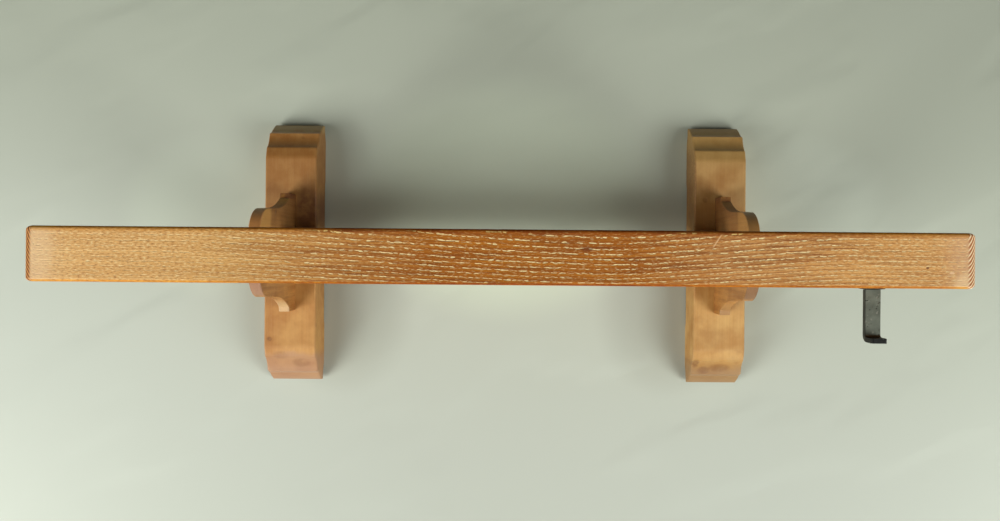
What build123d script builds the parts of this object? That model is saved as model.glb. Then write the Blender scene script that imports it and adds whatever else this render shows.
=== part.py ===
from build123d import *
from math import cos, degrees, radians, sin, tan
import os

# An upright table loom. Two carved feet carry two square posts, and four shaped brackets
# steady them. A long top beam sits over the posts, and a wedged stretcher ties them low
# down. The warp roller turns in the posts under the beam, the cloth roller just above the
# stretcher, each held by a ratchet wheel, a pawl and a hand knob on the right-hand post.
#
# Lengths are millimetres. X runs along the beam, Y from the weaver's side to the rear, and
# Z up from the floor. The origin is on the floor, midway between the feet.

os.makedirs("parts", exist_ok=True)

# --- Driving dimensions: the frame ---------------------------------------------------------
overall_height = 616.0          # floor to the top of the beam
beam_length = 784.0
beam_width = 46.0               # front to rear
beam_depth = 53.0               # top to underside
beam_corner = 8.0               # round of the four upright end corners
beam_end_round = 8.0            # round of the end's top arris
beam_arris = 3.0                # round of the long top arrises
beam_under_arris = 1.5

post_spacing = 632.6            # between the centre lines of the two posts
post_size = 36.0
post_chamfer = 2.0

foot_length = 388.0
foot_width = 75.6
foot_height = 60.0
foot_arris = 2.5
crest_back = 54.0               # the flat crest stops this far from each end of the foot
facet_back = 39.0               # the gently sloping facet stops here
facet_drop = 4.5
bevel_run = 2.5                 # a short bevel leads down from it to the nosing
bevel_drop = 3.5
nosing_back = 16.5              # the nosing is the rounded brow over the step
nosing_drop = 19.0
nosing_bulge = 2.0
crest_round = 20.0              # rounds where the crest meets the facet
brow_round = 5.5                # and above and below the bevel
step_back = 12.5                # foot of the short steep step under the nosing
step_height = 30.5
toe_height = 10.0               # the toe slopes from the step down to this height at the end
cove_depth = 0.8                # hollow of the toe between the step and the end
sole_lift = 7.0                 # the sole curves up to this height at the end
sole_back = 24.0                # from this far back
sole_bulge = 1.5
relief_height = 3.0             # hollow under the middle of the foot
pad_length = 84.0               # bearing pad at each end of the foot, with the curved sole
relief_slope = 6.0

bracket_thickness = 14.8
bracket_reach = 67.0            # from the post's face to the toe
bracket_toe = 32.0              # height of the upright toe
ledge_depth = 7.0
ledge_rise = 2.0
sweep_depth = 11.0              # the hollow sweep passes this far behind the ledge
sweep_height = 60.0
neck_depth = 17.5               # and ends this far behind it, at the neck
neck_height = 99.0
head_height = 140.0             # the quarter-round head starts here
head_radius = 40.0
bracket_arris = 0.8

# --- Driving dimensions: the joints of the frame --------------------------------------------
joint_play = 0.1                # room on each side of a tenon or tongue
end_room = 1.0                  # room beyond the end of a tenon
foot_tenon_thickness = 15.0
foot_tenon_width = 26.0
foot_tenon_length = 42.0
beam_tenon_thickness = 15.0
beam_tenon_width = 26.0
beam_tenon_length = 38.0
tongue_thickness = 8.0          # bracket tongues in the post and the foot
post_tongue_depth = 4.0
post_tongue_inset = 12.0        # the tongue stops this far from the bracket's ends
foot_tongue_depth = 8.0
foot_tongue_inset = 10.0
peg_radius = 3.5
peg_play = 0.05
peg_proud = 0.5
peg_nose = 0.4
beam_peg_rise = 10.0            # peg centre above the beam's underside
foot_peg_drop = 22.0            # peg centre below the top of the foot

stretcher_thickness = 20.0
stretcher_depth = 32.0
stretcher_rise = 24.0           # centre line above the top of the foot
stretcher_chamfer = 1.5
stretcher_tenon_thickness = 14.0
stretcher_tenon_depth = 24.0
stretcher_tenon_reach = 24.0    # beyond the post's outer face
wedge_thickness = 6.0
wedge_root = 7.0                # wedge's size along X at the middle of its height
wedge_height = 42.0
wedge_taper = 3.0               # degrees
wedge_slot_inset = 1.5          # the slot starts this far inside the post's face

# --- Driving dimensions: the hook -----------------------------------------------------------
hook_drop = 28.0                # middle of the strap below the top of the beam
hook_width = 13.4
hook_thickness = 4.0
hook_reach = 46.5               # from the beam's face to the outside of the tip
hook_rise = 18.0                # tip above the underside of the strap
hook_bend = 2.5                 # inside radius
hook_tail_radius = 2.5
hook_tail_length = 24.0
hook_tail_point = 5.0           # length of the pointed end, and how far in it tapers
hook_tail_taper = 2.0
hook_washer_radius = 10.5
hook_washer_thickness = 2.2
hook_washer_dish = 0.8

# --- Driving dimensions: the rollers --------------------------------------------------------
warp_roller_drop = 63.0         # axis below the beam's underside
cloth_roller_rise = 82.0        # axis above the top of the feet
roller_radius = 20.0
roller_side_gap = 1.5           # between the roller's shoulder and the post
roller_bead_inset = 12.0        # from the shoulder to the turned groove
roller_bead_depth = 1.5
roller_edge = 2.0
journal_radius = 10.0
journal_proud = 4.0             # left-hand end, beyond the post
running_play = 0.05
rod_radius = 3.0
rod_play = 0.1
rod_proud = 0.5
rod_inset = 14.0                # rod ends short of the roller's shoulders
square_size = 13.0              # squared right-hand end
square_play = 0.05

ratchet_teeth = 12
ratchet_radius = 24.0
tooth_depth = 4.0
ratchet_thickness = 6.0
ratchet_gap = 3.0               # between the post and the wheel
hub_radius = 15.0
hub_height = 2.0
pawl_tooth_angle = 40.0         # the pawl rests on the tooth at this angle above +Y

knob_length = 32.0
knob_neck_radius = 13.0
knob_neck_length = 9.0
knob_radius = 22.0
knob_rim = 12.0                 # straight rim that the fingers grip
knob_dome = 4.0                 # the crown's bevel, along the axis
knob_crown_radius = 15.0
knob_scallops = 8
scallop_radius = 7.0
scallop_depth = 2.5
socket_floor = 6.0              # wood left beyond the end of the square
knob_pin_radius = 2.0

pawl_thickness = 5.0
pawl_boss = 6.0
pawl_length = 24.0              # from the tooth's face to the pivot, square to the face
pawl_hold = 2.2                 # pivot outside the tooth's root, so a load draws the pawl in
pawl_gap = 0.3                  # all round the nose, in the tooth
pawl_nose = 5.0                 # width of the nose along the wheel's rim
pawl_arm_gap = 1.0              # between the arm and the tips of the teeth
pawl_arm_width = 6.0
pawl_tail = 13.0
pawl_tail_width = 5.0
spacer_radius = 5.0
screw_radius = 2.5
screw_head_radius = 5.5
screw_head_height = 3.0
screw_slot_width = 1.2
screw_slot_depth = 1.2
screw_slot_turn = 25.0          # degrees
screw_length = 12.0             # in the post, short of the bracket's tongue

# --- Worked-out places ----------------------------------------------------------------------
post_offset = post_spacing / 2
post_inner = post_offset - post_size / 2
post_outer = post_offset + post_size / 2
post_half = post_size / 2
beam_underside = overall_height - beam_depth
beam_front = -beam_width / 2
hook_height = overall_height - hook_drop
stretcher_height = foot_height + stretcher_rise
warp_roller_height = beam_underside - warp_roller_drop
cloth_roller_height = foot_height + cloth_roller_rise
foot_half = foot_length / 2
foot_tongue_length = bracket_reach - 2 * foot_tongue_inset
post_tongue_height = head_height + head_radius - 2 * post_tongue_inset
post_tongue_middle = foot_height + post_tongue_inset + post_tongue_height / 2
beam_peg_height = beam_underside + beam_peg_rise
foot_peg_height = foot_height - foot_peg_drop
roller_half = post_inner - roller_side_gap
wheel_inner = post_outer + ratchet_gap
wheel_outer = wheel_inner + ratchet_thickness
hub_face = wheel_outer + hub_height
knob_end = hub_face + knob_length
socket_end = knob_end - socket_floor
knob_pin_place = hub_face + knob_neck_length / 2
pawl_inner = wheel_inner + (ratchet_thickness - pawl_thickness) / 2
pawl_outer = pawl_inner + pawl_thickness

sides = (("left", -1), ("right", 1))
faces = (("front", -1), ("rear", 1))

# The notch that the pawl sits in, measured from the roller's axis in the plane of the wheel:
# along the tooth's face outwards, and across it towards the pawl.
face_angle = radians(pawl_tooth_angle)
tooth_root = ratchet_radius - tooth_depth


def in_notch(outward, across):
    """A point given along and across the face of the tooth that the pawl holds."""
    y = outward * cos(face_angle) - across * sin(face_angle)
    z = outward * sin(face_angle) + across * cos(face_angle)
    return y, z


pitch = radians(360 / ratchet_teeth)
ramp_rise = (ratchet_radius * cos(pitch) - tooth_root) / (ratchet_radius * sin(pitch))
arm_inner = ratchet_radius + pawl_arm_gap
arm_outer = arm_inner + pawl_arm_width
nose = (in_notch(tooth_root + 2 * pawl_gap, pawl_gap),
        in_notch(arm_outer - pawl_arm_width / 2, pawl_gap),
        in_notch(arm_outer - pawl_arm_width / 2, pawl_nose),
        in_notch(tooth_root + 2 * pawl_gap + ramp_rise * pawl_nose, pawl_nose))
pawl_pivot_y, pawl_pivot_z = in_notch(tooth_root + pawl_hold, pawl_length)
arm_span = (in_notch(0, pawl_gap), in_notch(2 * arm_outer, pawl_gap),
            in_notch(2 * arm_outer, 2 * arm_outer), (2 * pawl_pivot_y, 2 * pawl_pivot_z))

# --- Feet: carved end to end, hollowed below, mortised for the post and its brackets --------
relief_end = foot_half - pad_length
facet_end = (foot_half - facet_back, foot_height - facet_drop)
nosing_top = (foot_half - facet_back + bevel_run, foot_height - facet_drop - bevel_drop)
nosing_end = (foot_half - nosing_back, foot_height - nosing_drop)
step_foot = (foot_half - step_back, step_height)
sole_end = (foot_half, sole_lift)
sole_start = (foot_half - sole_back, 0)
for side_name, side in sides:
    with BuildPart() as foot:
        with BuildSketch(Plane.YZ.offset(side * post_offset - foot_width / 2)):
            with BuildLine():
                Polyline((0, foot_height), (foot_half - crest_back, foot_height), facet_end,
                         nosing_top)
                SagittaArc(nosing_top, nosing_end, -nosing_bulge)
                Line(nosing_end, step_foot)
                SagittaArc(step_foot, (foot_half, toe_height), cove_depth)
                Line((foot_half, toe_height), sole_end)
                SagittaArc(sole_end, sole_start, -sole_bulge)
                Polyline(sole_start, (relief_end, 0), (relief_end - relief_slope, relief_height),
                         (0, relief_height))
                mirror(about=Plane.YZ)
            make_face()
        extrude(amount=foot_width)
        across = foot.edges().filter_by(Axis.X)
        brows = across.filter_by(lambda edge: nosing_top[1] - foot_arris < edge.center().Z
                                 and edge.center().Z < foot_height - foot_arris)
        fillet(brows, brow_round)
        crests = foot.edges().filter_by(Axis.X).group_by(Axis.Z)[-1]
        fillet(crests, crest_round)
        cheeks = foot.faces().filter_by(Axis.X).edges()
        fillet(cheeks.filter_by(lambda edge: edge.center().Z > toe_height), foot_arris)
        with BuildSketch(Plane.XY.offset(foot_height)):
            with Locations((side * post_offset, 0)):
                Rectangle(foot_tenon_thickness + 2 * joint_play, foot_tenon_width + 2 * joint_play)
        extrude(amount=-foot_tenon_length - end_room, mode=Mode.SUBTRACT)
        with BuildSketch(Plane.XY.offset(foot_height)):
            with Locations((side * post_offset, post_half + bracket_reach / 2),
                           (side * post_offset, -post_half - bracket_reach / 2)):
                Rectangle(tongue_thickness + 2 * joint_play,
                          foot_tongue_length + 2 * joint_play)
        extrude(amount=-foot_tongue_depth - end_room, mode=Mode.SUBTRACT)
        with BuildSketch(Plane.YZ.offset(side * post_offset)):
            with Locations((0, foot_peg_height)):
                Circle(peg_radius + peg_play)
        extrude(amount=foot_width, both=True, mode=Mode.SUBTRACT)
    foot.part.label = f"foot_{side_name}"
    export_step(foot.part, f"parts/foot_{side_name}.step")

# --- Posts: square, with a tenon at each end, bored for the rollers, grooved for brackets ----
for side_name, side in sides:
    with BuildPart() as post:
        with BuildSketch(Plane.XY.offset(foot_height)):
            with Locations((side * post_offset, 0)):
                Rectangle(post_size, post_size)
        extrude(amount=beam_underside - foot_height)
        chamfer(post.edges().filter_by(Axis.Z), post_chamfer)
        with BuildSketch(Plane.XY.offset(foot_height)):
            with Locations((side * post_offset, 0)):
                Rectangle(foot_tenon_thickness, foot_tenon_width)
        extrude(amount=-foot_tenon_length)
        with BuildSketch(Plane.XY.offset(beam_underside)):
            with Locations((side * post_offset, 0)):
                Rectangle(beam_tenon_width, beam_tenon_thickness)
        extrude(amount=beam_tenon_length)
        with BuildSketch(Plane.YZ.offset(side * post_offset)):
            with Locations((0, warp_roller_height), (0, cloth_roller_height)):
                Circle(journal_radius + running_play)
            with Locations((0, stretcher_height)):
                Rectangle(stretcher_tenon_thickness + 2 * joint_play,
                          stretcher_tenon_depth + 2 * joint_play)
            with Locations((0, foot_peg_height)):
                Circle(peg_radius + peg_play)
        extrude(amount=post_size, both=True, mode=Mode.SUBTRACT)
        with BuildSketch(Plane.XZ):
            with Locations((side * post_offset, beam_peg_height)):
                Circle(peg_radius + peg_play)
        extrude(amount=post_size, both=True, mode=Mode.SUBTRACT)
        groove_depth = post_tongue_depth + joint_play
        with Locations((side * post_offset, post_half - groove_depth / 2, post_tongue_middle),
                       (side * post_offset, -post_half + groove_depth / 2, post_tongue_middle)):
            Box(tongue_thickness + 2 * joint_play, groove_depth,
                post_tongue_height + 2 * joint_play, mode=Mode.SUBTRACT)
        if side_name == "right":
            with BuildSketch(Plane.YZ.offset(post_outer)):
                with Locations((pawl_pivot_y, warp_roller_height + pawl_pivot_z),
                               (pawl_pivot_y, cloth_roller_height + pawl_pivot_z)):
                    Circle(screw_radius)
            extrude(amount=-screw_length - end_room, mode=Mode.SUBTRACT)
            with BuildSketch(Plane.XZ.offset(-beam_front)):
                with Locations((post_offset, hook_height)):
                    Circle(hook_tail_radius + joint_play)
            extrude(amount=-hook_tail_length - end_room, mode=Mode.SUBTRACT)
    post.part.label = f"post_{side_name}"
    export_step(post.part, f"parts/post_{side_name}.step")

# --- Brackets: toe, hollow sweep, upright neck and quarter-round head, tongued both ways -----
for side_name, side in sides:
    for face_name, way in faces:
        with BuildPart() as bracket:
            with BuildSketch(Plane.YZ.offset(side * post_offset - bracket_thickness / 2)):
                with BuildLine():
                    toe = post_half + bracket_reach
                    ledge = toe - ledge_depth
                    neck_foot = (way * (ledge - neck_depth), foot_height + neck_height)
                    head_foot = (way * (post_half + head_radius), foot_height + head_height)
                    head_chord = head_radius * cos(radians(45))
                    Polyline((way * post_half, foot_height), (way * toe, foot_height),
                             (way * toe, foot_height + bracket_toe),
                             (way * ledge, foot_height + bracket_toe + ledge_rise))
                    ThreePointArc((way * ledge, foot_height + bracket_toe + ledge_rise),
                                  (way * (ledge - sweep_depth), foot_height + sweep_height),
                                  neck_foot)
                    Line(neck_foot, head_foot)
                    ThreePointArc(head_foot,
                                  (way * (post_half + head_chord),
                                   foot_height + head_height + head_chord),
                                  (way * post_half, foot_height + head_height + head_radius))
                    Line((way * post_half, foot_height + head_height + head_radius),
                         (way * post_half, foot_height))
                make_face()
            extrude(amount=bracket_thickness)
            rims = bracket.faces().filter_by(Axis.X).edges()
            shown = rims.filter_by(lambda edge: abs(edge.center().Y) > post_half + bracket_arris
                                   and edge.center().Z > foot_height + bracket_arris)
            chamfer(shown, bracket_arris)
            with Locations((side * post_offset, way * (post_half - post_tongue_depth / 2),
                            post_tongue_middle)):
                Box(tongue_thickness, post_tongue_depth, post_tongue_height)
            with Locations((side * post_offset, way * (post_half + bracket_reach / 2),
                            foot_height - foot_tongue_depth / 2)):
                Box(tongue_thickness, foot_tongue_length, foot_tongue_depth)
        bracket.part.label = f"bracket_{face_name}_{side_name}"
        export_step(bracket.part, f"parts/bracket_{face_name}_{side_name}.step")

# --- Top beam: rounded ends, softened arrises, blind mortises under it -----------------------
with BuildPart() as top_beam:
    with BuildSketch(Plane.XZ) as elevation:
        with Locations((0, beam_underside + beam_depth / 2)):
            Rectangle(beam_length, beam_depth)
        fillet(elevation.vertices().group_by(Axis.Y)[-1], beam_end_round)
    extrude(amount=beam_width / 2, both=True)
    outline = top_beam.faces().filter_by(Axis.Y).edges()
    fillet(outline.filter_by(lambda edge: edge.center().Z > beam_underside + beam_under_arris),
           beam_arris)
    with BuildSketch(Plane.XY.offset(beam_underside)):
        RectangleRounded(beam_length, beam_width, beam_corner)
    extrude(amount=beam_depth, mode=Mode.INTERSECT)
    chamfer(top_beam.faces().sort_by(Axis.Z)[0].edges(), beam_under_arris)
    with BuildSketch(Plane.XY.offset(beam_underside)):
        with Locations((-post_offset, 0), (post_offset, 0)):
            Rectangle(beam_tenon_width + 2 * joint_play, beam_tenon_thickness + 2 * joint_play)
    extrude(amount=beam_tenon_length + end_room, mode=Mode.SUBTRACT)
    with BuildSketch(Plane.XZ):
        with Locations((-post_offset, beam_peg_height), (post_offset, beam_peg_height)):
            Circle(peg_radius + peg_play)
    extrude(amount=beam_width, both=True, mode=Mode.SUBTRACT)
    with BuildSketch(Plane.XZ.offset(-beam_front)):
        with Locations((post_offset, hook_height)):
            Circle(hook_tail_radius + joint_play)
    extrude(amount=-hook_tail_length - end_room, mode=Mode.SUBTRACT)
top_beam.part.label = "top_beam"
export_step(top_beam.part, "parts/top_beam.step")

# --- Stretcher: shouldered between the posts, its tenons run through and are wedged ----------
wedge_inner = post_outer
wedge_lean = tan(radians(wedge_taper))
slot_low = stretcher_height - stretcher_tenon_depth / 2
slot_high = stretcher_height + stretcher_tenon_depth / 2


def wedge_back(height, play):
    """How far out the wedge's sloping back lies at a height, with play beyond it."""
    return wedge_inner + wedge_root + (height - stretcher_height) * wedge_lean + play


with BuildPart() as stretcher:
    with BuildSketch(Plane.YZ):
        with Locations((0, stretcher_height)):
            Rectangle(stretcher_thickness, stretcher_depth)
    extrude(amount=post_inner, both=True)
    chamfer(stretcher.edges().filter_by(Axis.X), stretcher_chamfer)
    with BuildSketch(Plane.YZ):
        with Locations((0, stretcher_height)):
            Rectangle(stretcher_tenon_thickness, stretcher_tenon_depth)
    extrude(amount=post_outer + stretcher_tenon_reach, both=True)
    chamfer(stretcher.faces().sort_by(Axis.X)[-1].edges(), stretcher_chamfer)
    chamfer(stretcher.faces().sort_by(Axis.X)[0].edges(), stretcher_chamfer)
    with BuildSketch(Plane.XZ):
        with BuildLine():
            Polyline((wedge_inner - wedge_slot_inset, slot_low),
                     (wedge_back(slot_low, joint_play), slot_low),
                     (wedge_back(slot_high, joint_play), slot_high),
                     (wedge_inner - wedge_slot_inset, slot_high), close=True)
        make_face()
        mirror(about=Plane.YZ)
    extrude(amount=wedge_thickness / 2 + joint_play, both=True, mode=Mode.SUBTRACT)
stretcher.part.label = "stretcher"
export_step(stretcher.part, "parts/stretcher.step")

wedge_low = stretcher_height - wedge_height / 2
wedge_high = stretcher_height + wedge_height / 2
with BuildPart() as wedges:
    with BuildSketch(Plane.XZ):
        with BuildLine():
            Polyline((wedge_inner, wedge_low), (wedge_back(wedge_low, 0), wedge_low),
                     (wedge_back(wedge_high, 0), wedge_high), (wedge_inner, wedge_high), close=True)
        make_face()
    extrude(amount=wedge_thickness / 2, both=True)
    wedge_ends = wedges.faces().filter_by(Axis.Z).edges()
    chamfer(wedge_ends, wedge_thickness / 8)
    mirror(about=Plane.YZ)
wedges.part.label = "stretcher_wedges"
export_step(wedges.part, "parts/stretcher_wedges.step")

# --- Pegs: driven across the tenons, a little proud and rounded over -------------------------
with BuildPart() as beam_pegs:
    with BuildSketch(Plane.XZ):
        with Locations((-post_offset, beam_peg_height), (post_offset, beam_peg_height)):
            Circle(peg_radius)
    extrude(amount=beam_width / 2 + peg_proud, both=True)
    chamfer(beam_pegs.faces().filter_by(Axis.Y).edges(), peg_nose)
beam_pegs.part.label = "beam_pegs"
export_step(beam_pegs.part, "parts/beam_pegs.step")

with BuildPart() as foot_pegs:
    for side_name, side in sides:
        with BuildSketch(Plane.YZ.offset(side * post_offset)):
            with Locations((0, foot_peg_height)):
                Circle(peg_radius)
        extrude(amount=foot_width / 2 + peg_proud, both=True)
    chamfer(foot_pegs.faces().filter_by(Axis.X).edges(), peg_nose)
foot_pegs.part.label = "foot_pegs"
export_step(foot_pegs.part, "parts/foot_pegs.step")

# --- Hook: a forged strap with an upturned tip, its tail driven through a dished washer -------
hook_root = beam_front - hook_washer_thickness
hook_tip = beam_front - hook_reach
hook_floor = hook_height - hook_thickness / 2
with BuildPart() as hook:
    with BuildSketch(Plane.YZ.offset(post_offset - hook_width / 2)) as strap:
        with BuildLine():
            Polyline((hook_root, hook_floor), (hook_tip, hook_floor),
                     (hook_tip, hook_floor + hook_rise),
                     (hook_tip + hook_thickness, hook_floor + hook_rise),
                     (hook_tip + hook_thickness, hook_floor + hook_thickness),
                     (hook_root, hook_floor + hook_thickness), close=True)
        make_face()
        inner = strap.vertices().sort_by_distance((hook_tip + hook_thickness,
                                                   hook_floor + hook_thickness))[0]
        fillet(inner, hook_bend)
        outer = strap.vertices().sort_by_distance((hook_tip, hook_floor))[0]
        fillet(outer, hook_bend + hook_thickness)
    extrude(amount=hook_width)
    tip_corners = hook.edges().filter_by(Axis.Y).group_by(Axis.Z)[-1]
    fillet(tip_corners, hook_thickness / 2)
    with BuildSketch(Plane.XZ.offset(-hook_root)):
        with Locations((post_offset, hook_height)):
            Circle(hook_tail_radius)
    extrude(amount=-hook_washer_thickness - hook_tail_length)
    chamfer(hook.faces().sort_by(Axis.Y)[-1].edges(), hook_tail_point, hook_tail_taper)
hook.part.label = "hook"
export_step(hook.part, "parts/hook.step")

with BuildPart() as hook_washer:
    with BuildSketch(Plane.XZ.offset(-hook_root)):
        with Locations((post_offset, hook_height)):
            Circle(hook_washer_radius)
            Circle(hook_tail_radius + joint_play, mode=Mode.SUBTRACT)
    extrude(amount=-hook_washer_thickness)
    rim = hook_washer.faces().sort_by(Axis.Y)[0].edges().sort_by(SortBy.LENGTH)[-1]
    chamfer(rim, hook_washer_dish, hook_washer_radius / 2)
hook_washer.part.label = "hook_washer"
export_step(hook_washer.part, "parts/hook_washer.step")

# --- Rollers: a turned barrel with a slot for the rod, journals, and a squared driving end ----
rod_centre = roller_radius + rod_proud - rod_radius
for roller_name, height in (("warp", warp_roller_height), ("cloth", cloth_roller_height)):
    with BuildPart() as roller:
        with BuildSketch(Plane.XZ):
            with BuildLine():
                bead_face = roller_half - roller_bead_inset
                bead_foot = height + roller_radius - roller_bead_depth
                Polyline((0, height), (0, height + roller_radius),
                         (bead_face - 2 * roller_bead_depth, height + roller_radius),
                         (bead_face - roller_bead_depth, bead_foot),
                         (bead_face, height + roller_radius),
                         (roller_half - roller_edge, height + roller_radius),
                         (roller_half, height + roller_radius - roller_edge),
                         (roller_half, height), (0, height))
            make_face()
            mirror(about=Plane.YZ)
        revolve(axis=Axis((0, 0, height), (1, 0, 0)))
        with BuildSketch(Plane.YZ.offset(-post_outer - journal_proud)):
            with Locations((0, height)):
                Circle(journal_radius)
        extrude(amount=post_outer + journal_proud + wheel_inner)
        left_end = roller.faces().sort_by(Axis.X)[0]
        chamfer(left_end.edges(), roller_edge / 2)
        with BuildSketch(Plane.YZ.offset(wheel_inner)):
            with Locations((0, height)):
                Rectangle(square_size, square_size)
        extrude(amount=socket_end - wheel_inner - end_room)
        with BuildSketch(Plane.YZ):
            with Locations((0, height - rod_centre)):
                Circle(rod_radius + rod_play)
        extrude(amount=roller_half, both=True, mode=Mode.SUBTRACT)
        with BuildSketch(Plane.XY.offset(height)):
            with Locations((knob_pin_place, 0)):
                Circle(knob_pin_radius + peg_play)
        extrude(amount=square_size, both=True, mode=Mode.SUBTRACT)
    roller.part.label = f"{roller_name}_roller"
    export_step(roller.part, f"parts/{roller_name}_roller.step")

    with BuildPart() as rod:
        with BuildSketch(Plane.YZ):
            with Locations((0, height - rod_centre)):
                Circle(rod_radius)
        extrude(amount=roller_half - rod_inset, both=True)
        chamfer(rod.faces().filter_by(Axis.X).edges(), rod_radius / 4)
    rod.part.label = f"{roller_name}_rod"
    export_step(rod.part, f"parts/{roller_name}_rod.step")

    with BuildPart() as ratchet:
        with BuildSketch(Plane.YZ.offset(wheel_inner)):
            with Locations((0, height)):
                Circle(ratchet_radius)
            for tooth in range(ratchet_teeth):
                turn = pawl_tooth_angle + tooth * degrees(pitch)
                with Locations(Location((0, height, 0), (0, 0, turn))):
                    Polygon((tooth_root, 0), (ratchet_radius / cos(pitch), 0),
                            (ratchet_radius * cos(pitch), ratchet_radius * sin(pitch)),
                            align=None, mode=Mode.SUBTRACT)
        extrude(amount=ratchet_thickness)
        with BuildSketch(Plane.YZ.offset(wheel_outer)):
            with Locations((0, height)):
                Circle(hub_radius)
        extrude(amount=hub_height)
        chamfer(ratchet.faces().sort_by(Axis.X)[-1].edges(), hub_height / 3)
        with BuildSketch(Plane.YZ.offset(wheel_inner)):
            with Locations((0, height)):
                Rectangle(square_size + 2 * square_play, square_size + 2 * square_play)
        extrude(amount=ratchet_thickness + hub_height, mode=Mode.SUBTRACT)
    ratchet.part.label = f"{roller_name}_ratchet"
    export_step(ratchet.part, f"parts/{roller_name}_ratchet.step")

    with BuildPart() as knob:
        with BuildSketch(Plane.XZ):
            with BuildLine():
                rim_end = knob_end - knob_dome
                Polyline((hub_face, height), (hub_face, height + knob_neck_radius),
                         (hub_face + knob_neck_length, height + knob_neck_radius),
                         (rim_end - knob_rim, height + knob_radius),
                         (rim_end, height + knob_radius),
                         (knob_end, height + knob_crown_radius), (knob_end, height), close=True)
            make_face()
        revolve(axis=Axis((0, 0, height), (1, 0, 0)))
        with BuildSketch(Plane.YZ.offset(hub_face + knob_neck_length)):
            with Locations((0, height)):
                with PolarLocations(knob_radius + scallop_radius - scallop_depth, knob_scallops):
                    Circle(scallop_radius)
        extrude(amount=knob_length, mode=Mode.SUBTRACT)
        with BuildSketch(Plane.YZ.offset(hub_face)):
            with Locations((0, height)):
                Rectangle(square_size + 2 * square_play, square_size + 2 * square_play)
        extrude(amount=socket_end - hub_face, mode=Mode.SUBTRACT)
        with BuildSketch(Plane.XY.offset(height)):
            with Locations((knob_pin_place, 0)):
                Circle(knob_pin_radius + peg_play)
        extrude(amount=knob_radius, both=True, mode=Mode.SUBTRACT)
    knob.part.label = f"{roller_name}_knob"
    export_step(knob.part, f"parts/{roller_name}_knob.step")

    with BuildPart() as knob_pin:
        with BuildSketch(Plane.XY.offset(height)):
            with Locations((knob_pin_place, 0)):
                Circle(knob_pin_radius)
        extrude(amount=knob_neck_radius + peg_proud, both=True)
        chamfer(knob_pin.faces().filter_by(Axis.Z).edges(), peg_nose)
    knob_pin.part.label = f"{roller_name}_knob_pin"
    export_step(knob_pin.part, f"parts/{roller_name}_knob_pin.step")

    # The pawl's nose fills the notch of one tooth, its arm bows over the next tooth's tip,
    # and its boss hangs on the screw above, with a short thumb tail.
    pivot = (pawl_pivot_y, height + pawl_pivot_z)
    with BuildPart() as pawl:
        with BuildSketch(Plane.YZ.offset(pawl_inner)):
            with Locations((0, height)):
                Circle(arm_outer)
                Circle(arm_inner, mode=Mode.SUBTRACT)
                Polygon(*arm_span, align=None, mode=Mode.INTERSECT)
                Polygon(*nose, align=None)
            with Locations(pivot):
                Circle(pawl_boss)
            with Locations(pivot):
                SlotCenterPoint((0, pawl_tail / 2), (0, pawl_tail), pawl_tail_width)
            with Locations(pivot):
                Circle(screw_radius + running_play, mode=Mode.SUBTRACT)
        extrude(amount=pawl_thickness)
    pawl.part.label = f"{roller_name}_pawl"
    export_step(pawl.part, f"parts/{roller_name}_pawl.step")

# --- Pawl screws and the spacers that hold the pawls in line with the wheels ------------------
screw_seat = pawl_outer + pawl_gap
with BuildPart() as pawl_screws:
    for height in (warp_roller_height, cloth_roller_height):
        pivot = (pawl_pivot_y, height + pawl_pivot_z)
        with BuildSketch(Plane.YZ.offset(post_outer - screw_length)):
            with Locations(pivot):
                Circle(screw_radius)
        extrude(amount=screw_length + screw_seat - post_outer)
        with BuildSketch(Plane.YZ.offset(screw_seat)):
            with Locations(pivot):
                Circle(screw_head_radius)
        extrude(amount=screw_head_height)
    heads = pawl_screws.faces().group_by(Axis.X)[-1]
    chamfer(heads.edges(), screw_head_height / 3, screw_head_radius / 3)
    for height in (warp_roller_height, cloth_roller_height):
        with BuildSketch(Plane.YZ.offset(screw_seat + screw_head_height)):
            with Locations((pawl_pivot_y, height + pawl_pivot_z)):
                Rectangle(2 * screw_head_radius, screw_slot_width, rotation=screw_slot_turn)
        extrude(amount=-screw_slot_depth, mode=Mode.SUBTRACT)
pawl_screws.part.label = "pawl_screws"
export_step(pawl_screws.part, "parts/pawl_screws.step")

with BuildPart() as pawl_spacers:
    with BuildSketch(Plane.YZ.offset(post_outer)):
        with Locations((pawl_pivot_y, warp_roller_height + pawl_pivot_z),
                       (pawl_pivot_y, cloth_roller_height + pawl_pivot_z)):
            Circle(spacer_radius)
            Circle(screw_radius + joint_play, mode=Mode.SUBTRACT)
    extrude(amount=pawl_inner - pawl_gap - post_outer)
pawl_spacers.part.label = "pawl_spacers"
export_step(pawl_spacers.part, "parts/pawl_spacers.step")
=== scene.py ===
# %% [markdown]
# # An upright table loom on two carved feet
#
# A heavy top beam rests on two square posts. Each post stands in a carved foot, with a shaped
# bracket in front of it and one behind. Two rollers turn between the posts, each held by a ratchet
# wheel and a pawl. The solids come from the CAD frame, and this script dresses them: old oiled
# wood with open pores, forged iron, and a little brass.
#
# The frame has to be loaded first, because most sizes and places below are read from it.

# %% Load the frame
import math

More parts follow.
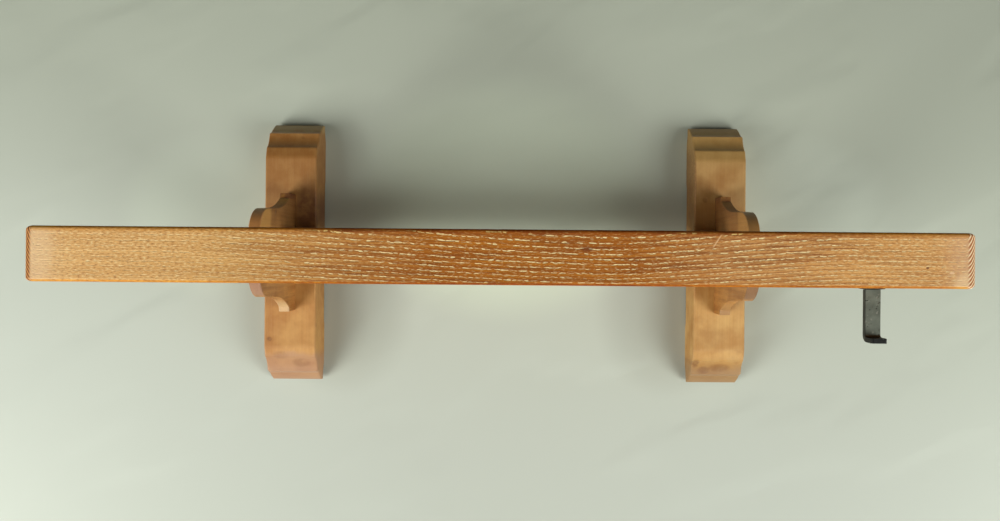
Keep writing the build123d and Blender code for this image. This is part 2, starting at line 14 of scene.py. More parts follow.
import bpy
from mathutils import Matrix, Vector


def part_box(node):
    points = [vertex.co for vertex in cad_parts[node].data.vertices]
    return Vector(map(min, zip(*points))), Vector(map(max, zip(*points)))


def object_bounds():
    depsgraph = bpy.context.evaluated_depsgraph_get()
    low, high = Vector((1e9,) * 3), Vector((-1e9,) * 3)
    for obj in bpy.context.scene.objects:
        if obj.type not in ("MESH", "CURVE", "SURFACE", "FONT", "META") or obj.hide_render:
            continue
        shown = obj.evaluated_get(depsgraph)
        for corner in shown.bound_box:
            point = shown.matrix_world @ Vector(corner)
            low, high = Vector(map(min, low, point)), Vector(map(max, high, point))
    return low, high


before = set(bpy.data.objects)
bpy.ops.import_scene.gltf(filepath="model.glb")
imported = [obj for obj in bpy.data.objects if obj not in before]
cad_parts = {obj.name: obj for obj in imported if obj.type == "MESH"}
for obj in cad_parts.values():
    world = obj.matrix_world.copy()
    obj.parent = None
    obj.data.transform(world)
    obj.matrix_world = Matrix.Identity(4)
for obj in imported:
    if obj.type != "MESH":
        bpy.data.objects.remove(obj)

frame_low, frame_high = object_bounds()
beam_low, beam_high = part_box("top_beam")
beam_middle = (beam_low + beam_high) / 2
beam_half = (beam_high.x - beam_low.x) / 2
frame_size = [round(side, 3) for side in frame_high - frame_low]
print("frame loaded:", len(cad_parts), "nodes, size in metres", frame_size)

# %% [markdown]
# ## The camera
#
# The loom is looked at from straight above, so the camera keeps its own axes and only turns a
# hair about the vertical. It hangs 696 mm over the beam, which is close: the beam then hides most
# of what is under it, and the feet, far below, look much smaller than they are. A longer lens from
# higher up would frame the beam as well, but it would show the beam and the feet at nearly one
# scale, and the loom isn't seen that way here.

# %% Hang the camera over the beam
camera_gap = 0.696  # from the lens to the top of the beam
camera_turn = math.radians(0.48)

bpy.ops.object.select_all(action="DESELECT")
bpy.ops.object.camera_add(
    location=(0.0087, 0.006, beam_high.z + camera_gap),
    rotation=(0, 0, camera_turn),
)
camera = bpy.context.object
camera.name = "overhead_camera"
camera.data.lens = 30.6
camera.data.sensor_width = 36
camera.data.shift_x = -0.011
camera.data.shift_y = -0.0105
camera.data.clip_start = 0.02
bpy.context.scene.camera = camera
print("camera hangs at", [round(c, 3) for c in camera.location])

# %% [markdown]
# ## The light
#
# Soft boxes stand in front of the loom, 60 degrees to either side: a high one, one at half height
# and a small low one nearer by. They light the ground in front, and the beam and the feet keep
# their light off the strip of ground behind, which falls dark. A sun or a bare bulb would be
# simpler, but would draw every shadow with a hard edge. A faint sky opens the corners.

# %% Set up the lamps and the sky
def soft_box(name, turn, rise, distance, size, power):
    """A wide soft lamp that faces the loom. It is turned from the front towards +X and raised, both
    in degrees."""
    turn, rise = math.radians(turn), math.radians(rise)
    aim = Vector((0, 0, 0.1))
    away = Vector((math.cos(rise) * math.sin(turn), -math.cos(rise) * math.cos(turn), math.sin(rise)))
    bpy.ops.object.light_add(type="AREA", location=aim + away * distance)
    lamp = bpy.context.object
    lamp.name = name
    lamp.data.size = size
    lamp.data.energy = power
    lamp.data.color = (1.0, 0.99, 0.96)
    lamp.rotation_euler = away.to_track_quat("Z", "Y").to_euler()
    print(name, "of", power, "W, turned", round(math.degrees(turn)), "degrees")


for side, turn, (high, middle, low) in (("left", -60, (28, 39, 1.9)), ("right", 60, (34, 18, 2.3))):
    soft_box(side + "_high_box", turn, rise=45, distance=2.8, size=1.4, power=high)
    soft_box(side + "_middle_box", turn, rise=25, distance=2.8, size=1.4, power=middle)
    soft_box(side + "_low_box", turn, rise=18, distance=1.25, size=0.6, power=low)

sky_strength = 0.045
sky = bpy.data.worlds.new("soft_sky")
sky.use_nodes = True
background = sky.node_tree.nodes["Background"]
background.inputs["Color"].default_value = (0.97, 1.0, 0.97, 1)
background.inputs["Strength"].default_value = sky_strength
bpy.context.scene.world = sky
bpy.context.scene.view_settings.view_transform = "Standard"
print("sky of strength", sky_strength)

# %% [markdown]
# ## Shader maths
#
# A material's pattern is arithmetic on places: divide a place by the width of a growth ring and
# its fraction says where in the ring it lies. Wiring each sum by hand is slow to read, so a small
# class wraps a socket and lets Python's own signs add the Math nodes. Every other node comes from
# one method, `add`, and the few helpers under it only save typing.

# %% Write shader maths as expressions
class Wire:
    """A socket of one material's nodes that can be calculated with."""

    def __init__(self, tree, socket):
        self.tree = tree
        self.socket = socket

    def add(self, kind, settings=(), sockets=(), out=0):
        """Adds a node: first its settings or its ramp's stops, then its sockets' values or links."""
        node = self.tree.nodes.new(kind)
        for key, value in dict(settings).items():
            if key == "stops":
                ramp = node.color_ramp
                while len(ramp.elements) < len(value):
                    ramp.elements.new(0.5)
                for stop, (place, colour) in zip(ramp.elements, value):
                    stop.position = place
                    stop.color = colour
            else:
                setattr(node, key, value)
        for key, value in dict(sockets).items():
            if isinstance(value, Wire):
                self.tree.links.new(value.socket, node.inputs[key])
            else:
                node.inputs[key].default_value = value
        return Wire(self.tree, node.outputs[out] if node.outputs else None)

    def maths(self, operation, *values):
        """What a Math node makes of these values."""
        return self.add("ShaderNodeMath", {"operation": operation}, enumerate(values))

    def __add__(self, other):
        return self.maths("ADD", self, other)

    def __radd__(self, other):
        return self.maths("ADD", other, self)

    def __sub__(self, other):
        return self.maths("SUBTRACT", self, other)

    def __rsub__(self, other):
        return self.maths("SUBTRACT", other, self)

    def __mul__(self, other):
        return self.maths("MULTIPLY", self, other)

    def __rmul__(self, other):
        return self.maths("MULTIPLY", other, self)

    def __truediv__(self, other):
        return self.maths("DIVIDE", self, other)

    def __rtruediv__(self, other):
        return self.maths("DIVIDE", other, self)

    def __pow__(self, other):
        return self.maths("POWER", self, other)

    def size(self):
        """The value without its sign."""
        return self.maths("ABSOLUTE", self)

    def step(self, low, high, start=0.0, end=1.0):
        """A soft step from start to end while the value goes from low to high."""
        settings = {"interpolation_type": "SMOOTHSTEP"}
        sockets = {"Value": self, "From Min": low, "From Max": high, "To Min": start, "To Max": end}
        return self.add("ShaderNodeMapRange", settings, sockets)

    def blend(self, first, second, mode="MIX"):
        """Goes from the first colour to the second as this value goes from 0 to 1."""
        settings = {"data_type": "RGBA", "blend_type": mode}
        return self.add("ShaderNodeMix", settings, {0: self, 6: first, 7: second}, 2)

    def parts(self):
        """The x, y and z of a vector."""
        split = self.add("ShaderNodeSeparateXYZ", (), {0: self})
        return [Wire(self.tree, socket) for socket in split.socket.node.outputs]

    def joined(self, y, z):
        """The vector whose x is this value."""
        return self.add("ShaderNodeCombineXYZ", (), {0: self, 1: y, 2: z})

    def noise(self, scale=1.0, detail=2.0, roughness=0.5):
        """Soft noise around 0.5 at this place."""
        sockets = {"Vector": self, "Scale": scale, "Detail": detail, "Roughness": roughness}
        return self.add("ShaderNodeTexNoise", (), sockets)

    def cells(self, scale=1.0, out="Distance", flat=False):
        """The distance to the middle of the nearest cell, or its own random colour."""
        settings = {"voronoi_dimensions": "2D" if flat else "3D"}
        return self.add("ShaderNodeTexVoronoi", settings, {"Vector": self, "Scale": scale}, out)

    def ramp(self, *stops):
        """The colour on a ramp of (place, colour) stops at this value."""
        return self.add("ShaderNodeValToRGB", {"stops": stops}, {0: self})


# %% [markdown]
# ## Opening and closing a finish
#
# A finish reads the place and the direction of the surface on its own object, so its pattern stays
# put when a roller or a pawl moves. Painted images could do that too, but each piece would need its
# mesh unwrapped and a file of its own. Each finish starts empty, and ends in one shader with its
# bump.

# %% Open and close a finish
def paint(red, green, blue):
    """A colour as a painter writes it, from 0 to 255, as the shader wants it."""
    shares = [value / 255 for value in (red, green, blue)]
    linear = [s / 12.92 if s <= 0.04045 else ((s + 0.055) / 1.055) ** 2.4 for s in shares]
    return (*linear, 1.0)


def new_finish(name):
    """An empty material. Gives it with the place and the direction of the surface on its object."""
    material = bpy.data.materials.new(name)
    material.use_nodes = True
    tree = material.node_tree
    tree.nodes.clear()
    start = Wire(tree, None)
    place = start.add("ShaderNodeTexCoord", out="Object")
    facing = start.add("ShaderNodeTexCoord", out="Normal")
    return material, place, facing


def close_finish(material, colour, roughness, height, depth, metallic=0.0, **constants):
    """Joins a pattern's colour, roughness and height to the shader. Depth is the height's size in
    metres, and constants are set on the shader's own sockets."""
    start = Wire(material.node_tree, None)
    bump = start.add("ShaderNodeBump", (), {"Height": height, "Distance": depth, "Strength": 1.0})
    sockets = {"Base Color": colour, "Roughness": roughness, "Metallic": metallic, "Normal": bump}
    sockets |= {key.replace("_", " "): value for key, value in constants.items()}
    shader = start.add("ShaderNodeBsdfPrincipled", (), sockets)
    start.add("ShaderNodeOutputMaterial", (), {"Surface": shader})
    print("finish made:", material.name, "with", len(material.node_tree.nodes), "nodes")
    return material


def dress(material, *names):
    """Gives CAD nodes or pieces this finish."""
    for name in names:
        slots = bpy.data.objects[name].data.materials
        slots.clear()
        slots.append(material)


# %% [markdown]
# ## The ground
#
# The loom stands on a pale grey-green cloth pulled nearly flat. A cloth simulation could drape it,
# but only four flat pads touch it, so one large sheet is enough, with a fine weave and a few long
# shallow creases. Its tone turns a little greener towards the back, and towards the right it is
# painted darker as painted shade. Behind the beam and outside the feet the cloth is painted paler
# and greener as painted light, and beside the front of the feet it is painted darker as painted
# shade. It is stage, not part of the loom.

# %% Lay the ground
def spot(length, side, middle, half):
    """A soft round mark: 1 at its middle, 0 beyond its half length and half width."""
    away = ((length - middle[0]) / half[0]) ** 2.0 + ((side - middle[1]) / half[1]) ** 2.0
    return away.step(0.2, 1.0, 1.0, 0.0)


bpy.ops.object.select_all(action="DESELECT")
bpy.ops.mesh.primitive_plane_add(size=16, location=(0, 0, frame_low.z))
ground = bpy.context.object
ground.name = "ground"
bpy.ops.object.transform_apply(location=True, rotation=True, scale=True)

material, place, _ = new_finish("ground_cloth")
x, y, _ = place.parts()
aside = x.size()
crease = (x * 1.1 + y * 0.7).joined(x * -1.6 + y * 2.6, 0.0).noise(1.5, 3.0, 0.45)
fold = crease.step(0.46, 0.56)
weave = place.noise(900.0, 1.0)
shade = place.noise(2.2, 2.0)
back = (y + x * 0.15 + (shade - 0.5) * 0.1).step(-0.35, 0.4)
colour = back.blend(paint(191, 198, 186), paint(191, 199, 181))
# Painted light: paler, greener cloth behind the beam and outside the feet. Painted shade: darker
# cloth beside the front of the feet.
for across, middle, half, tone in (
    (x, (0.0, 0.09), (0.27, 0.21), paint(210, 221, 199)),
    (aside, (0.25, -0.09), (0.12, 0.14), paint(178, 184, 171)),
    (aside, (0.46, 0.06), (0.15, 0.14), paint(200, 209, 192)),
):
    colour = spot(across, y, middle, half).blend(colour, tone)
# Painted shade: the cloth is darker towards the right.
colour = x.step(0.1, 0.7).blend(colour, (0.92, 0.92, 0.92, 1.0), "MULTIPLY")
dress(close_finish(material, colour, 0.9, fold * 0.5 + weave * 0.02, depth=0.003), "ground")

# %% [markdown]
# ## Oiled wood
#
# The beam and its frame are a ring-porous wood. Each year's growth starts with a row of large
# pores and ends in dense brown wood. On a lengthwise surface the pores are cut along, so they show
# as rows of fine dashes, and pale dust has filled them. On an end they show as dots in curved
# lines.
#
# A flat pattern can't do both, so the pattern is worked out in the round. The distance from the
# tree's heart, divided by the ring's width, gives the ring and the place in it. The turn round the
# heart and the place along the trunk split each ring's row into pores. Any surface that cuts
# through it then shows the right grain by itself.

# %% Grow the wood
def grain(place, facing, along, heart, ring, pore, wander=0.005, drift=None):
    """The pattern of a ring-porous wood, in metres. The heart lies at a place on the two other
    axes, a pore has a length and a width, and drift moves the rings along the trunk."""
    axes = dict(zip("XYZ", place.parts()))
    length = axes.pop(along)
    side, up = axes.values()
    out, over = side - heart[0], up - heart[1]

    def fibres(lengthwise, across, detail, roughness=0.5):
        """Noise drawn out along the trunk, with its scale along it and across it."""
        drawn = (length * lengthwise).joined(side * across, up * across)
        return drawn.noise(1.0, detail, roughness)

    sway = fibres(5.0, 9.0, 2.0) - 0.5
    quick = fibres(110.0, 200.0, 1.0) - 0.5
    radius = (out ** 2.0 + over ** 2.0) ** 0.5 + sway * wander + quick * (ring * 0.35)
    if drift is not None:
        radius = radius + drift(length)
    rings = radius / ring
    count = rings.maths("FLOOR", rings)
    inside = rings - count
    turn = out.maths("ARCTAN2", out, over) * radius
    # One cell of the flat pattern is one pore, and every ring shifts the cells to places of its own.
    cell = (length / pore[0] + count * 7.31).joined(turn / pore[1] + count * 3.17, 0.0)
    chance, offset, pale = cell.cells(out="Color", flat=True).parts()
    row = (inside - offset * 0.14 - 0.12).size().step(0.03, 0.12, 1.0, 0.0)
    return {
        "length": length, "side": side, "inside": inside, "chance": chance, "pale": pale,
        "end": facing.parts()["XYZ".index(along)].size(),
        "luck": count.add("ShaderNodeTexWhiteNoise", {"noise_dimensions": "1D"}, {"W": count}),
        "dense": inside.step(0.55, 0.98),
        "pore": cell.cells(flat=True).step(0.42, 0.58, 1.0, 0.0) * row,
        "fibre": fibres(22.0, 520.0, 3.0, 0.6),
        "fleck": fibres(300.0, 1000.0, 2.0),
        "streak": fibres(6.0, 120.0, 3.0, 0.55),
        "cloud": place.noise(11.0, 3.0, 0.5),
    }


# %% [markdown]
# ## The plain wood
#
# All wood but the beam's is seen from further off. It could be one material for every piece, but
# each piece was cut its own way and has its own soot and stains. So one function builds the
# finish, and each piece gives it a direction, three tones and its marks.

# %% Mix the plain oiled wood
wood_relief = 0.0004  # from the deepest pore to the highest fibre
end_grain = (0.78, 0.95)  # how squarely a surface faces along the trunk where it is cut across


def oiled_wood(
    name, along, heart, ring, pore, pale, warm, dark, figure=0.6, dust=0.2, rough=0.42,
    rear=0.0, cut=None, zones=(), marks=(),
):
    """A plain oiled wood in three tones. Figure says how strongly the grain shows and rear is how
    far the colour is painted darker towards the back, as painted shade. Where the wood is cut
    across, cut gives the range of steepness, the strength, the range of heights and a colour for
    each height. A zone tints the wood from one place to another along an axis, and a mark is a
    brown patch, a stain or painted shade, with a middle, a half size and a strength."""
    material, place, facing = new_finish(name)
    axes = dict(zip("XYZ", place.parts()))
    wood = grain(place, facing, along, heart, ring, pore)
    patches = place.noise(36.0, 3.0, 0.55)
    tone = wood["streak"] * figure + (wood["cloud"] * 0.5 + patches * 0.5) * (1.0 - figure)
    colour = tone.step(0.36, 0.64).blend(pale, warm)
    colour = ((wood["dense"] * 0.3 + wood["luck"] * 0.2) * figure).blend(colour, dark)
    colour = (wood["fibre"].step(0.5, 0.75) * 0.35 * figure).blend(colour, dark)
    hole = wood["pore"] * wood["chance"].step(0.2, 0.4)
    filled = wood["cloud"].step(0.4, 0.6) * dust
    colour = (hole * 0.6 * figure).blend(colour, dark)
    colour = (hole * filled).blend(colour, paint(222, 190, 134))
    knock = place.cells(34.0).step(0.05, 0.17, 1.0, 0.0)
    struck = knock * place.cells(34.0, "Color").parts()[1].step(0.74, 0.8)
    stain = place.noise(17.0, 4.0, 0.65).step(0.58, 0.76) * 0.3
    colour = (stain + struck * 0.35).blend(colour, dark)
    # Painted shade: the colour sinks towards dark at the back of the piece, by the share rear.
    colour = (axes["Y"].step(-0.02, 0.1) * rear).blend(colour, dark)
    steepness, strength, heights, lower, upper = cut or (end_grain, 0.5, (0.0, 1.0), dark, dark)
    sawn = axes["Z"].step(*heights).blend(lower, upper)
    colour = (wood["end"].step(*steepness) * strength).blend(colour, sawn)
    for axis, low, high, start, end, tint in zones:
        measure = axes[axis] + (patches - 0.5) * 0.03
        colour = measure.step(low, high, start, end).blend(colour, tint)
    # Each mark is a stain or painted shade, as its table says.
    for middle, half, strength in marks:
        ragged = place.noise(1.1 / half[0], 3.0, 0.6).step(0.3, 0.6) * 0.7 + 0.3
        mark = spot(axes["X"], axes["Y"], middle, half)
        colour = (mark * ragged * strength).blend(colour, paint(106, 62, 34))
    roughness = rough + wood["fibre"] * 0.16 + stain * 0.3
    height = (wood["fibre"] * 0.3 - hole * 0.8 + wood["dense"] * 0.15) * figure
    height = height + patches * 1.2 - struck * 1.3
    return close_finish(material, colour, roughness, height, wood_relief)


# %% [markdown]
# ## The top beam
#
# The beam is what the eye sees first, so its finish is its own. The heart of its tree lay behind
# and above it, so the rows of pores stand wide apart at the back and close together at the front.
# They come down towards the middle and climb again to the right. At the very tips the rings turn
# sharply. A straight log would draw ruled lines, so the rings' distance from the heart drifts
# along the beam.

# %% Grow the beam's grain
def beam_drift(length):
    """The rings lean away from the heart down to the middle of the beam and back beyond it. At the
    worn tips they turn sharply."""
    tips = (length - beam_middle.x).size().step(beam_half - 0.012, beam_half, 0.0, 0.006)
    return length.step(-0.3, 0.11, 0.0, -0.011) + length.step(0.08, 0.3, 0.0, 0.0085) + tips


material, place, facing = new_finish("beam_oiled")
wood = grain(
    place, facing, "X", heart=(beam_high.y + 0.045, beam_high.z + 0.08), ring=0.0027,
    pore=(0.0036, 0.0008), wander=0.002, drift=beam_drift,
)
length, side, fleck = wood["length"], wood["side"], wood["fleck"]
from_middle = (length - beam_middle.x).size()
print("beam's grain grown,", len(material.node_tree.nodes), "nodes")

# %% [markdown]
# The left third of the beam is paler, worn nearly smooth, with fine brown flecks in place of open
# pores. The middle is a deep orange brown with every ring in view. So a ramp along the beam gives
# the ground tone, and one value, the open part, says how strongly the grain shows at a place.

# %% Lay the beam's tones, flecks and pores
open_part = length.step(-0.27, -0.12) * length.step(0.22, 0.37, 1.0, 0.3)
along_beam = (length - beam_low.x) / (2 * beam_half) + (wood["cloud"] - 0.5) * 0.1
colour = along_beam.ramp(
    (0.0, paint(252, 206, 138)), (0.06, paint(244, 192, 120)), (0.22, paint(234, 182, 108)),
    (0.33, paint(210, 148, 74)), (0.42, paint(192, 118, 30)), (0.64, paint(192, 118, 32)),
    (0.76, paint(218, 158, 90)), (0.88, paint(235, 177, 102)), (1.0, paint(230, 174, 104)),
)
tone = wood["streak"].step(0.34, 0.68) * (0.3 + open_part * 0.25)
colour = tone.blend(colour, (0.62, 0.48, 0.32, 1.0), "MULTIPLY")
dense = wood["dense"] * (0.1 + open_part * 0.44) + wood["luck"] * 0.1
colour = dense.blend(colour, paint(136, 66, 14))
fibre = wood["fibre"].step(0.48, 0.66) * (0.12 + open_part * 0.45)
colour = fibre.blend(colour, paint(118, 60, 18))

brown_flecks = fleck.step(0.54, 0.64) * (0.48 - open_part * 0.14)
pale_flecks = fleck.step(0.36, 0.46, 1.0, 0.0) * (0.55 - open_part * 0.33)
colour = brown_flecks.blend(colour, paint(152, 84, 40))
colour = pale_flecks.blend(colour, paint(255, 230, 170))

arris = facing.parts()[1].size().step(0.2, 0.55)
hole = wood["pore"] * wood["chance"].step(0.05, 0.15)
filled = hole * (open_part * 0.7 + 0.3) * (wood["pale"] * 0.4 + 0.85) * (1.0 - arris)
colour = (hole * (open_part * 0.3)).blend(colour, paint(116, 66, 28))
colour = filled.blend(colour, paint(255, 238, 178))
print("beam's tones laid,", len(material.node_tree.nodes), "nodes")

# %% [markdown]
# The beam has one small knot, and use has left a dent, a scar and a chip. Scattering such marks by
# noise would be quicker, but it would spread them evenly, so each is given its own place. Both
# ends are rubbed pale, and more so one corner on the right and a strip on the left.

# %% Mark and rub the beam
def scratch(length, side, start, end, width):
    """A thin straight mark from one place to another."""
    run = Vector(end) - Vector(start)
    ahead = ((length - start[0]) * run.x + (side - start[1]) * run.y) / run.length_squared
    across = ((length - start[0]) * run.y - (side - start[1]) * run.x) / run.length
    on_line = across.size().step(width * 0.4, width, 1.0, 0.0)
    return on_line * (ahead - 0.5).size().step(0.4, 0.5, 1.0, 0.0)


knot = spot(length, side, (0.071, 0.007), (0.006, 0.0028))
dent = spot(length, side, (0.35, -0.006), (0.0016, 0.0012))
colour = (knot * 0.6 + dent * 0.8).blend(colour, paint(112, 52, 24))
scar = scratch(length, side, (0.174, 0.009), (0.1815, 0.0205), width=0.0008)
chip = spot(length, side, (0.37, -0.01), (0.0026, 0.0013))
colour = (scar * 0.5 + chip * 0.8).blend(colour, paint(250, 214, 164))

worn = (from_middle + (wood["cloud"] - 0.5) * 0.03).step(beam_half - 0.04, beam_half - 0.008)
colour = (worn * (fleck.step(0.35, 0.6) * 0.35 + 0.2)).blend(colour, paint(232, 190, 152))
corner = spot(length, side, (0.385, -0.019), (0.016, 0.012)) * 0.5
strip = spot(length, side, (-0.378, 0.002), (0.014, 0.03)) * 0.3
colour = (corner + strip).blend(colour, paint(252, 220, 168))
print("beam marked,", len(material.node_tree.nodes), "nodes")

# %% [markdown]
# The long arrises are polished to a deep orange, and a strip along the back of the top is painted
# the same deeper orange as painted shade. Round the tips the turned rings are cut across at a
# slant, so they stand there as close stripes, pale and brown, and on the sawn ends they show as
# faint arcs. Both are the same rings as on the top, so the stripes meet the lines.

# %% Finish the beam's arrises and ends
# Painted shade: a strip along the back of the top is darkened like the arrises.
behind = side.step(beam_high.y - 0.0055, beam_high.y - 0.0025) * 0.6
arris = arris.maths("MAXIMUM", arris, behind)
colour = (arris * (0.88 + open_part * 0.12)).blend(colour, (0.77, 0.5, 0.06, 1.0), "MULTIPLY")

line = (wood["inside"] - 0.5).size().step(0.12, 0.3)
to_right = length.step(-0.1, 0.1)
pale_stripe = to_right.blend(paint(224, 158, 84), paint(255, 230, 184))
brown_stripe = to_right.blend(paint(118, 58, 14), paint(178, 104, 52))
rim = (length - beam_middle.x + 0.0008).size().step(beam_half - 0.009, beam_half - 0.006)
sawn = wood["end"].step(0.8, 0.98)
colour = (rim * (1.0 - sawn)).blend(colour, line.blend(pale_stripe, brown_stripe))
colour = (sawn * (1.0 - line) * 0.35).blend(colour, paint(146, 88, 42))

roughness = 0.4 + wood["fibre"] * 0.2 + arris * 0.25
height = wood["fibre"] * 0.2 - hole * 0.5 + wood["dense"] * 0.1
beam_finish = close_finish(
    material, colour, roughness, height, wood_relief, Specular_IOR_Level=0.25,
)
dress(beam_finish, "top_beam")

# %% [markdown]
# ## The feet, the posts and the brackets
#
# The feet, posts, brackets and stretcher came from the same timber, but each was cut its own way,
# so each gets its own run of the grain: lengthwise along the foot, upright in the posts and
# brackets. Their grain shows less than the beam's, under soft clouds of tan and gold, and the
# backs of the feet and brackets are painted darker as painted shade. The feet's front ends are
# worn, their rear ends are tinted green as painted light bounced from the cloth, and beside each
# post behind the beam a mark of painted shade darkens the foot. Each foot's zones and stains are
# in a small table.

# %% Finish the feet
foot_cut = paint(206, 160, 120)
# In each foot's table the second zone tints the rear end green as painted light bounced from the
# cloth, and the last mark, beside the post behind the beam, is painted shade. The other zones and
# marks are wear and stains.
foot_tones = {
    "foot_left": (
        paint(202, 152, 84), paint(172, 116, 52),
        [("Y", -0.157, -0.142, 0.6, 0.0, paint(166, 127, 104)),
         ("Y", 0.178, 0.184, 0.0, 0.5, paint(190, 168, 112))],
        [((-0.346, -0.128), (0.005, 0.004), 0.6), ((-0.302, -0.164), (0.016, 0.009), 0.3),
         ((-0.33, -0.152), (0.014, 0.008), 0.2), ((-0.29, 0.06), (0.024, 0.045), 0.8)],
    ),
    "foot_right": (
        paint(209, 166, 98), paint(180, 129, 62),
        [("Y", -0.174, -0.146, 0.75, 0.0, paint(146, 112, 74)),
         ("Y", 0.12, 0.15, 0.0, 0.3, paint(184, 156, 92))],
        [((0.284, -0.16), (0.007, 0.008), 0.6), ((0.297, -0.171), (0.012, 0.007), 0.4),
         ((0.32, -0.167), (0.018, 0.008), 0.4), ((0.3, -0.12), (0.03, 0.02), 0.12),
         ((0.278, 0.1), (0.004, 0.08), 0.5)],
    ),
}
for foot, (pale, warm, zones, marks) in foot_tones.items():
    foot_finish = oiled_wood(
        foot + "_oiled", "Y", (0.02, -0.16), 0.0042, (0.006, 0.0008), pale, warm, paint(104, 62, 30),
        figure=0.15, dust=0.1, rear=0.3, zones=zones, marks=marks,
        cut=(end_grain, 0.5, (0.0, 1.0), foot_cut, foot_cut),
    )
    dress(foot_finish, foot)

# %% [markdown]
# A bracket's outline is sawn, so its sweep and its head show end grain, which drank more oil. The
# tone there goes by height. Behind the beam the heads also keep a golden glow, and the toes that
# stand on the feet are painted darker as painted shade.

# %% Finish the posts, the brackets and the stretcher
post_finish = oiled_wood(
    "post_oiled", "Z", (0.05, -0.14), 0.0034, (0.006, 0.0008),
    paint(194, 140, 82), paint(164, 108, 54), paint(104, 60, 28), figure=0.8, dust=0.35,
)
dress(post_finish, "post_left", "post_right")

bracket_tones = {
    "bracket_front_left": (paint(209, 175, 127), paint(160, 122, 98), 0.0),
    "bracket_front_right": (paint(166, 125, 75), paint(122, 92, 66), 0.0),
    "bracket_rear_left": (paint(216, 157, 63), paint(186, 110, 72), 0.5),
    "bracket_rear_right": (paint(181, 127, 59), paint(136, 98, 58), 0.3),
}
for bracket, (sweep_tone, head_tone, glow) in bracket_tones.items():
    low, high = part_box(bracket)
    zones, marks = [], []
    if glow:
        zones = [("Z", high.z - 0.06, high.z - 0.045, 0.0, glow, paint(214, 160, 84))]
        # Painted shade: the toe at the back of a rear bracket is darkened.
        marks = [(((low.x + high.x) / 2, high.y - 0.0035), (0.03, 0.006), 0.9)]
    bracket_finish = oiled_wood(
        bracket + "_oiled", "Z", (0.02, -0.2), 0.0036, (0.005, 0.0008),
        paint(192, 136, 70), paint(154, 98, 40), paint(78, 44, 18), figure=0.45, dust=0.1, rear=0.6,
        cut=((0.2, 0.5), 0.8, (high.z - 0.07, high.z - 0.045), sweep_tone, head_tone),
        zones=zones, marks=marks,
    )
    dress(bracket_finish, bracket)

stretcher_finish = oiled_wood(
    "stretcher_oiled", "X", (-0.1, -0.08), 0.0036, (0.006, 0.0008),
    paint(196, 142, 84), paint(166, 110, 56), paint(110, 64, 30), figure=0.8, dust=0.3,
)
dress(stretcher_finish, "stretcher")

# %% [markdown]
# ## The turned wood, the rods and the pegs
#
# Rollers and knobs are handled all day, so they are the smoothest wood: the rollers pale, the
# knobs dark from the hand. The rods are split from straight pale wood, and the pegs and wedges are
# small dark offcuts. Nothing but tone, grain and shine tells them apart, so the same function
# serves them all.

# %% Finish the turned wood, the rods and the pegs
roller_finish = oiled_wood(
    "roller_turned", "X", (0.0, 0.2), 0.003, (0.006, 0.0007),
    paint(214, 166, 106), paint(188, 134, 76), paint(128, 82, 40), figure=0.8, dust=0.3, rough=0.34,
)
dress(roller_finish, "warp_roller", "cloth_roller")
knob_finish = oiled_wood(
    "knob_turned", "X", (0.03, 0.2), 0.0026, (0.004, 0.0007),
    paint(176, 118, 64), paint(142, 86, 40), paint(84, 46, 20), figure=0.7, dust=0.1, rough=0.3,
)
dress(knob_finish, "warp_knob", "cloth_knob")
rod_finish = oiled_wood(
    "rod_split", "X", (0.01, 0.1), 0.0022, (0.005, 0.0005),
    paint(226, 188, 128), paint(204, 158, 96), paint(150, 104, 56), dust=0.1, rough=0.45,
)
dress(rod_finish, "warp_rod", "cloth_rod")
peg_finish = oiled_wood(
    "peg_dark", "X", (0.05, 0.05), 0.002, (0.003, 0.0005),
    paint(142, 92, 50), paint(112, 68, 34), paint(68, 38, 18), dust=0.0,
)
dress(peg_finish, "beam_pegs", "foot_pegs", "warp_knob_pin", "cloth_knob_pin", "stretcher_wedges")

# %% [markdown]
# ## Iron and brass
#
# The hook was hammered out of a flat bar, and years of handling left it dark, pitted and a little
# greenish. Its turned-up tip and the left edge of its strap are painted black as painted shade. The
# ratchet wheels and pawls are smoother and shine more. A metal's colour is in its reflection, so the
# finishes are mostly metallic: the cleaner the metal, the more. The hammer marks are too shallow to
# be worth a mesh, so they are left to bump.

# %% Finish the hook
metal_relief = 0.0004  # from the deepest pit to the highest hammer mark


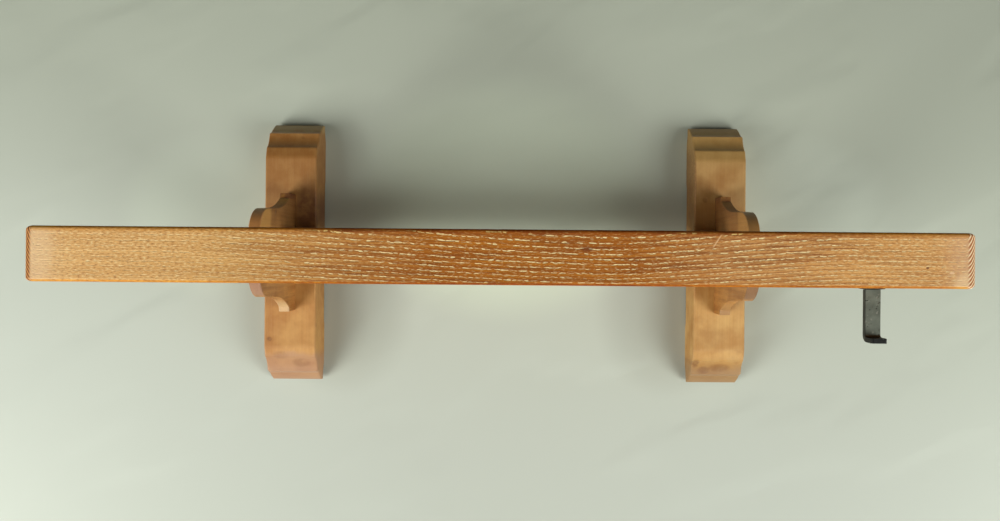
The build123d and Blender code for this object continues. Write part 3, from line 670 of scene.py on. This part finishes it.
def old_metal(name, scale, bright, pits, rough, metallic, speck, painted_shade=None):
    """A worn metal between two tones. Pits says how dark its pits are, and speck how pale its
    specks. The painted shade gives the share of black at a place, where shade is painted in."""
    material, place, _ = new_finish(name)
    skin = place.noise(180.0, 4.0, 0.6)
    blotch = place.noise(55.0, 3.0, 0.5)
    pit = place.cells(420.0).step(0.1, 0.34, 1.0, 0.0) * place.noise(150.0, 2.0).step(0.45, 0.6)
    hammer = place.cells(130.0)
    colour = blotch.step(0.35, 0.68).blend(scale, bright)
    colour = (pit * pits).blend(colour, paint(38, 36, 32))
    colour = (place.noise(260.0, 3.0).step(0.62, 0.72) * speck).blend(colour, paint(160, 160, 146))
    # Painted shade: black where the given mask says.
    if painted_shade is not None:
        colour = painted_shade(place).blend(colour, paint(18, 20, 16))
    roughness = rough + skin * 0.25
    height = skin * 0.35 + hammer * 0.5 - pit * 0.7
    return close_finish(material, colour, roughness, height, metal_relief, metallic=metallic)


hook_low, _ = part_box("hook")


def hook_painted_shade(place):
    """Painted shade: the hook's turned-up tip is black, and so is the left edge of its strap."""
    x, _, z = place.parts()
    tip = z.step(hook_low.z + 0.0041, hook_low.z + 0.0058)
    edge = x.step(hook_low.x + 0.0003, hook_low.x + 0.0012, 0.8, 0.0)
    return tip.maths("MAXIMUM", tip, edge)


forged = old_metal(
    "iron_forged", paint(92, 98, 86), paint(118, 124, 110), 0.8, 0.42, 0.55, 0.6, hook_painted_shade,
)
dress(forged, "hook")

# %% Finish the smaller metal
washer = old_metal("iron_washer", paint(28, 26, 22), paint(60, 56, 46), 0.5, 0.5, 0.6, 0.1)
dress(washer, "hook_washer")
wheel = old_metal("iron_wheel", paint(74, 74, 70), paint(104, 104, 100), 0.4, 0.34, 0.8, 0.15)
dress(wheel, "warp_ratchet", "cloth_ratchet", "warp_pawl", "cloth_pawl")
screw = old_metal("iron_screw", paint(120, 116, 108), paint(150, 146, 138), 0.3, 0.3, 0.9, 0.1)
dress(screw, "pawl_screws")
brass = old_metal("brass_old", paint(150, 118, 62), paint(186, 152, 86), 0.3, 0.3, 0.95, 0.0)
dress(brass, "pawl_spacers")
